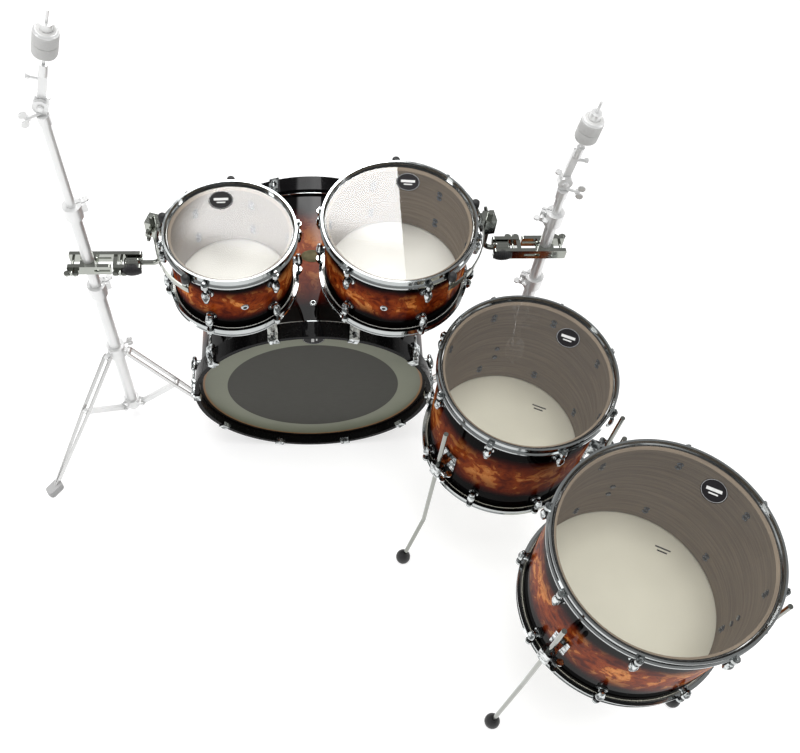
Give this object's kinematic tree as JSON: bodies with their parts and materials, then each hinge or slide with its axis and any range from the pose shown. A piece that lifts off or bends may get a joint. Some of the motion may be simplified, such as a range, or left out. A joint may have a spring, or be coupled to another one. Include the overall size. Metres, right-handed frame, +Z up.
{
  "type": "acoustic drum kit",
  "caption": "Acoustic drum kit: bass drum on spurs, rack toms clamped to folding cymbal stands, and floor toms on adjustable legs.",
  "frame": {"origin": "on the floor, under the middle of the kit's bounding box", "axes": "+Z up, +Y away from the player towards the bass drum's front, +X to the player's right"},
  "size_m": [1.5747, 1.2978, 1.3445],
  "materials": {
    "burst_shell": "high-gloss lacquer over a figured veneer, black at the edges fading to amber in the middle",
    "clear_head": "clear polyester film with a metal flesh hoop",
    "cream_head": "cream film, satin",
    "smoked_head": "dark olive-grey film with a lighter ring",
    "black_head": "gloss black film",
    "black_lacquer": "gloss black lacquer on a wooden hoop",
    "chrome": "polished chrome plate",
    "pale_stand_metal": "pale satin chrome"
  },
  "bodies": {
    "standing_drums": {"bass_batter_head": "smoked_head", "bass_batter_hoop": "black_lacquer", "bass_claws_and_rods": "chrome", "bass_front_head": "black_head", "bass_front_hoop": "black_lacquer", "bass_lugs": "chrome", "bass_shell": "burst_shell", "bass_spur_brackets": "chrome", "floor_tom_14_batter_head": "clear_head", "floor_tom_14_bottom_head": "cream_head", "floor_tom_14_hoops": "chrome", "floor_tom_14_leg_brackets": "chrome", "floor_tom_14_lugs_and_rods": "chrome", "floor_tom_14_shell": "burst_shell", "floor_tom_16_batter_head": "clear_head", "floor_tom_16_bottom_head": "cream_head", "floor_tom_16_hoops": "chrome", "floor_tom_16_leg_brackets": "chrome", "floor_tom_16_lugs_and_rods": "chrome", "floor_tom_16_shell": "burst_shell", "left_stand_lower_tube": "pale_stand_metal", "right_stand_lower_tube": "pale_stand_metal"},
    "bass_left_spur": {"bass_left_spur": "chrome"},
    "bass_right_spur": {"bass_right_spur": "chrome"},
    "floor_tom_14_legs": {"floor_tom_14_legs": "chrome"},
    "floor_tom_16_legs": {"floor_tom_16_legs": "chrome"},
    "left_collar": {"left_stand_collar": "pale_stand_metal"},
    "left_leg_1": {"left_stand_leg_1": "pale_stand_metal"},
    "left_brace_1": {"left_stand_brace_1": "pale_stand_metal"},
    "left_leg_2": {"left_stand_leg_2": "pale_stand_metal"},
    "left_brace_2": {"left_stand_brace_2": "pale_stand_metal"},
    "left_leg_3": {"left_stand_leg_3": "pale_stand_metal"},
    "left_brace_3": {"left_stand_brace_3": "pale_stand_metal"},
    "left_middle_tube": {"left_stand_middle_tube": "pale_stand_metal"},
    "left_upper_tube": {"left_stand_upper_tube": "pale_stand_metal"},
    "left_tilter": {"left_stand_tilter": "pale_stand_metal"},
    "left_clamp": {"left_stand_clamp": "chrome"},
    "tom_10": {"tom_10_batter_head": "clear_head", "tom_10_bottom_head": "cream_head", "tom_10_hoops": "chrome", "tom_10_lugs_and_rods": "chrome", "tom_10_shell": "burst_shell", "tom_10_suspension": "chrome"},
    "right_collar": {"right_stand_collar": "pale_stand_metal"},
    "right_leg_1": {"right_stand_leg_1": "pale_stand_metal"},
    "right_brace_1": {"right_stand_brace_1": "pale_stand_metal"},
    "right_leg_2": {"right_stand_leg_2": "pale_stand_metal"},
    "right_brace_2": {"right_stand_brace_2": "pale_stand_metal"},
    "right_leg_3": {"right_stand_leg_3": "pale_stand_metal"},
    "right_brace_3": {"right_stand_brace_3": "pale_stand_metal"},
    "right_middle_tube": {"right_stand_middle_tube": "pale_stand_metal"},
    "right_upper_tube": {"right_stand_upper_tube": "pale_stand_metal"},
    "right_tilter": {"right_stand_tilter": "pale_stand_metal"},
    "right_clamp": {"right_stand_clamp": "chrome"},
    "tom_12": {"tom_12_batter_head": "clear_head", "tom_12_bottom_head": "cream_head", "tom_12_hoops": "chrome", "tom_12_lugs_and_rods": "chrome", "tom_12_shell": "burst_shell", "tom_12_suspension": "chrome"}
  },
  "joints": [
    {"name": "left_spur_fold", "type": "hinge", "parent": "standing_drums", "child": "bass_left_spur", "pos_m": [-0.3719, 0.4893, 0.214], "axis": [-0.9932, 0, 0.116], "range_deg": [0, 95]},
    {"name": "right_spur_fold", "type": "hinge", "parent": "standing_drums", "child": "bass_right_spur", "pos_m": [0.2081, 0.4893, 0.214], "axis": [-0.9932, 0, -0.116], "range_deg": [0, 95]},
    {"name": "floor_tom_14_height", "type": "slide", "parent": "standing_drums", "child": "floor_tom_14_legs", "axis": [0, 0, 1], "range_m": [-0.08, 0.12]},
    {"name": "floor_tom_16_height", "type": "slide", "parent": "standing_drums", "child": "floor_tom_16_legs", "axis": [0, 0, 1], "range_m": [-0.08, 0.12]},
    {"name": "left_tripod_fold", "type": "slide", "parent": "standing_drums", "child": "left_collar", "axis": [0, 0, 1], "range_m": [0, 0.0775]},
    {"name": "left_leg_1_fold", "type": "hinge", "parent": "left_collar", "child": "left_leg_1", "pos_m": [-0.59283, 0.24655, 0.332], "axis": [0.766, -0.6428, 0], "range_deg": [-0.5, 33.5]},
    {"name": "left_brace_1_fold", "type": "hinge", "parent": "left_leg_1", "child": "left_brace_1", "pos_m": [-0.66199, 0.16412, 0.206], "axis": [0.766, -0.6428, 0], "range_deg": [-67, 1]},
    {"name": "left_leg_2_fold", "type": "hinge", "parent": "left_collar", "child": "left_leg_2", "pos_m": [-0.54237, 0.26492, 0.332], "axis": [0.1736, 0.9848, 0], "range_deg": [-0.5, 33.5]},
    {"name": "left_brace_2_fold", "type": "hinge", "parent": "left_leg_2", "child": "left_brace_2", "pos_m": [-0.4364, 0.24623, 0.206], "axis": [0.1736, 0.9848, 0], "range_deg": [-67, 1]},
    {"name": "left_leg_3_fold", "type": "hinge", "parent": "left_collar", "child": "left_leg_3", "pos_m": [-0.5835, 0.29943, 0.332], "axis": [-0.9397, -0.342, 0], "range_deg": [-0.5, 33.5]},
    {"name": "left_brace_3_fold", "type": "hinge", "parent": "left_leg_3", "child": "left_brace_3", "pos_m": [-0.6203, 0.40055, 0.206], "axis": [-0.9397, -0.342, 0], "range_deg": [-67, 1]},
    {"name": "left_middle_height", "type": "slide", "parent": "standing_drums", "child": "left_middle_tube", "axis": [0, 0, 1], "range_m": [-0.03, 0.1]},
    {"name": "left_upper_height", "type": "slide", "parent": "left_middle_tube", "child": "left_upper_tube", "axis": [0, 0, 1], "range_m": [-0.1, 0.08]},
    {"name": "left_cymbal_tilt", "type": "hinge", "parent": "left_upper_tube", "child": "left_tilter", "pos_m": [-0.5729, 0.2703, 1.137], "axis": [0, 1, 0], "range_deg": [-60, 60]},
    {"name": "left_clamp_swing", "type": "hinge", "parent": "left_middle_tube", "child": "left_clamp", "pos_m": [-0.5729, 0.2703, 0.684], "axis": [0, 0, 1], "range_deg": [-20, 12]},
    {"name": "tom_10_tilt", "type": "hinge", "parent": "left_clamp", "child": "tom_10", "pos_m": [-0.4779, 0.2703, 0.684], "axis": [1, 0, 0], "range_deg": [-8, 18]},
    {"name": "right_tripod_fold", "type": "slide", "parent": "standing_drums", "child": "right_collar", "axis": [0, 0, 1], "range_m": [0, 0.0775]},
    {"name": "right_leg_1_fold", "type": "hinge", "parent": "right_collar", "child": "right_leg_1", "pos_m": [0.4426, 0.25245, 0.332], "axis": [0.866, 0.5, 0], "range_deg": [-0.5, 33.5]},
    {"name": "right_brace_1_fold", "type": "hinge", "parent": "right_leg_1", "child": "right_brace_1", "pos_m": [0.4964, 0.15926, 0.206], "axis": [0.866, 0.5, 0], "range_deg": [-67, 1]},
    {"name": "right_leg_2_fold", "type": "hinge", "parent": "right_collar", "child": "right_leg_2", "pos_m": [0.4426, 0.30615, 0.332], "axis": [-0.866, 0.5, 0], "range_deg": [-0.5, 33.5]},
    {"name": "right_brace_2_fold", "type": "hinge", "parent": "right_leg_2", "child": "right_brace_2", "pos_m": [0.4964, 0.39933, 0.206], "axis": [-0.866, 0.5, 0], "range_deg": [-67, 1]},
    {"name": "right_leg_3_fold", "type": "hinge", "parent": "right_collar", "child": "right_leg_3", "pos_m": [0.3961, 0.2793, 0.332], "axis": [0, -1, 0], "range_deg": [-0.5, 33.5]},
    {"name": "right_brace_3_fold", "type": "hinge", "parent": "right_leg_3", "child": "right_brace_3", "pos_m": [0.2885, 0.2793, 0.206], "axis": [0, -1, 0], "range_deg": [-67, 1]},
    {"name": "right_middle_height", "type": "slide", "parent": "standing_drums", "child": "right_middle_tube", "axis": [0, 0, 1], "range_m": [-0.02, 0.1]},
    {"name": "right_upper_height", "type": "slide", "parent": "right_middle_tube", "child": "right_upper_tube", "axis": [0, 0, 1], "range_m": [-0.04, 0.08]},
    {"name": "right_cymbal_tilt", "type": "hinge", "parent": "right_upper_tube", "child": "right_tilter", "pos_m": [0.4271, 0.2793, 0.925], "axis": [0, 1, 0], "range_deg": [-60, 60]},
    {"name": "right_clamp_swing", "type": "hinge", "parent": "right_middle_tube", "child": "right_clamp", "pos_m": [0.4271, 0.2793, 0.721], "axis": [0, 0, 1], "range_deg": [-15, 0]},
    {"name": "tom_12_tilt", "type": "hinge", "parent": "right_clamp", "child": "tom_12", "pos_m": [0.3321, 0.2793, 0.721], "axis": [1, 0, 0], "range_deg": [-8, 14]}
  ],
  "couplings": [
    {"joint": "left_leg_1_fold", "follows": "left_tripod_fold", "rad_per_m": 7.4317},
    {"joint": "left_brace_1_fold", "follows": "left_tripod_fold", "rad_per_m": -14.863},
    {"joint": "left_leg_2_fold", "follows": "left_tripod_fold", "rad_per_m": 7.4317},
    {"joint": "left_brace_2_fold", "follows": "left_tripod_fold", "rad_per_m": -14.863},
    {"joint": "left_leg_3_fold", "follows": "left_tripod_fold", "rad_per_m": 7.4317},
    {"joint": "left_brace_3_fold", "follows": "left_tripod_fold", "rad_per_m": -14.863},
    {"joint": "right_leg_1_fold", "follows": "right_tripod_fold", "rad_per_m": 7.4317},
    {"joint": "right_brace_1_fold", "follows": "right_tripod_fold", "rad_per_m": -14.863},
    {"joint": "right_leg_2_fold", "follows": "right_tripod_fold", "rad_per_m": 7.4317},
    {"joint": "right_brace_2_fold", "follows": "right_tripod_fold", "rad_per_m": -14.863},
    {"joint": "right_leg_3_fold", "follows": "right_tripod_fold", "rad_per_m": 7.4317},
    {"joint": "right_brace_3_fold", "follows": "right_tripod_fold", "rad_per_m": -14.863}
  ]
}
